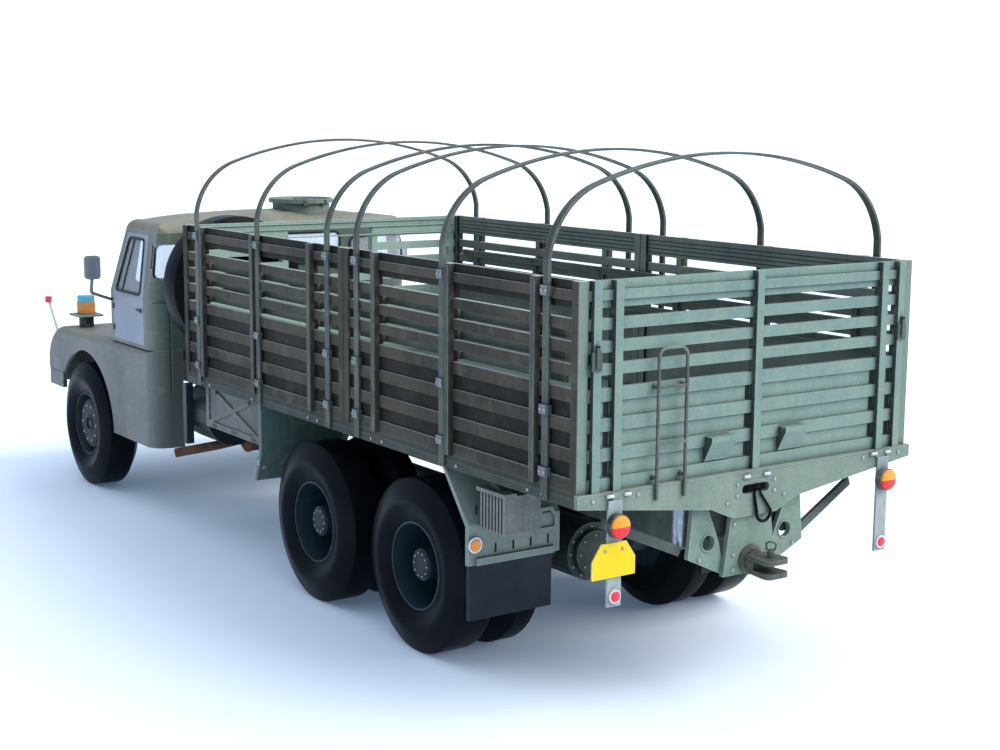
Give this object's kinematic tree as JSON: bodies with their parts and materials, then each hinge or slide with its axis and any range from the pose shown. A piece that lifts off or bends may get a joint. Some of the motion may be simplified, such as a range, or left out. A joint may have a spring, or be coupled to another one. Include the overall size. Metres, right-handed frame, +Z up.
{
  "type": "card scale model of a bonneted six-wheel military cargo truck",
  "caption": "Card model of a bonneted military cargo truck with slatted bed, bare canvas hoops, hollow cab and free-rolling wheels.",
  "frame": {"origin": "on the floor under the middle of the model's box", "axes": "+X towards the nose, +Y to the truck's left, +Z up"},
  "size_m": [0.3346, 0.121, 0.1218],
  "materials": {
    "tyre": "satin black card, smooth",
    "rim_green": "dark green printed card",
    "chassis_dark": "dark green printed card",
    "olive_card": "printed olive green card with pale cut edges",
    "hoop_strip": "olive grey card strip",
    "dark_iron": "dark olive card",
    "lamp_card": "red and orange printed card",
    "plate_yellow": "plain yellow card",
    "black_card": "matt black card",
    "exhaust_brown": "rusty brown card",
    "cab_card": "printed grey green card with tan weathering",
    "window_film": "clear film",
    "seat_card": "brown card",
    "wire": "painted wire"
  },
  "bodies": {
    "truck": {"spare_tyre": "tyre", "spare_rim": "rim_green", "backbone_tube": "chassis_dark", "half_axles": "chassis_dark", "frame_rails": "chassis_dark", "spare_carrier": "chassis_dark", "bed_floor": "olive_card", "bed_bearers": "olive_card", "side_left": "olive_card", "side_right": "olive_card", "tailgate": "olive_card", "front_wall": "olive_card", "ladder": "olive_card", "benches": "olive_card", "rear_sill": "olive_card", "hitch_frame": "olive_card", "mudguards": "olive_card", "chock_rack": "olive_card", "tool_box": "olive_card", "fuel_tank": "olive_card", "hoops_rear": "hoop_strip", "hoops_middle": "hoop_strip", "hoops_front": "hoop_strip", "tow_jaw": "dark_iron", "tail_lamps": "lamp_card", "front_lamps": "lamp_card", "number_plate": "plate_yellow", "mud_flaps": "black_card", "air_tanks": "black_card", "exhaust": "exhaust_brown", "cab_body": "cab_card", "cab_floor": "cab_card", "cab_roof": "cab_card", "roof_hatch": "cab_card", "door_left": "cab_card", "door_right": "cab_card", "bonnet": "cab_card", "fender_left": "cab_card", "fender_right": "cab_card", "bumper": "cab_card", "cab_glass": "window_film", "seats": "seat_card", "dashboard": "seat_card", "mirrors": "wire", "marker_rods": "wire"},
    "front_left_wheel": {"front_left_tyre": "tyre", "front_left_rim": "rim_green"},
    "front_right_wheel": {"front_right_tyre": "tyre", "front_right_rim": "rim_green"},
    "middle_left_wheel": {"middle_left_tyre": "tyre", "middle_left_rim": "rim_green"},
    "middle_right_wheel": {"middle_right_tyre": "tyre", "middle_right_rim": "rim_green"},
    "rear_left_wheel": {"rear_left_tyre": "tyre", "rear_left_rim": "rim_green"},
    "rear_right_wheel": {"rear_right_tyre": "tyre", "rear_right_rim": "rim_green"}
  },
  "joints": [
    {"name": "front_left_spin", "type": "hinge", "parent": "truck", "child": "front_left_wheel", "pos_m": [0.12565, 0.04, 0.02153], "axis": [0, 1, 0], "continuous": true},
    {"name": "front_right_spin", "type": "hinge", "parent": "truck", "child": "front_right_wheel", "pos_m": [0.12565, -0.04, 0.02153], "axis": [0, 1, 0], "continuous": true},
    {"name": "middle_left_spin", "type": "hinge", "parent": "truck", "child": "middle_left_wheel", "pos_m": [-0.04045, 0.04, 0.02153], "axis": [0, 1, 0], "continuous": true},
    {"name": "middle_right_spin", "type": "hinge", "parent": "truck", "child": "middle_right_wheel", "pos_m": [-0.04045, -0.04, 0.02153], "axis": [0, 1, 0], "continuous": true},
    {"name": "rear_left_spin", "type": "hinge", "parent": "truck", "child": "rear_left_wheel", "pos_m": [-0.09165, 0.04, 0.02153], "axis": [0, 1, 0], "continuous": true},
    {"name": "rear_right_spin", "type": "hinge", "parent": "truck", "child": "rear_right_wheel", "pos_m": [-0.09165, -0.04, 0.02153], "axis": [0, 1, 0], "continuous": true}
  ]
}
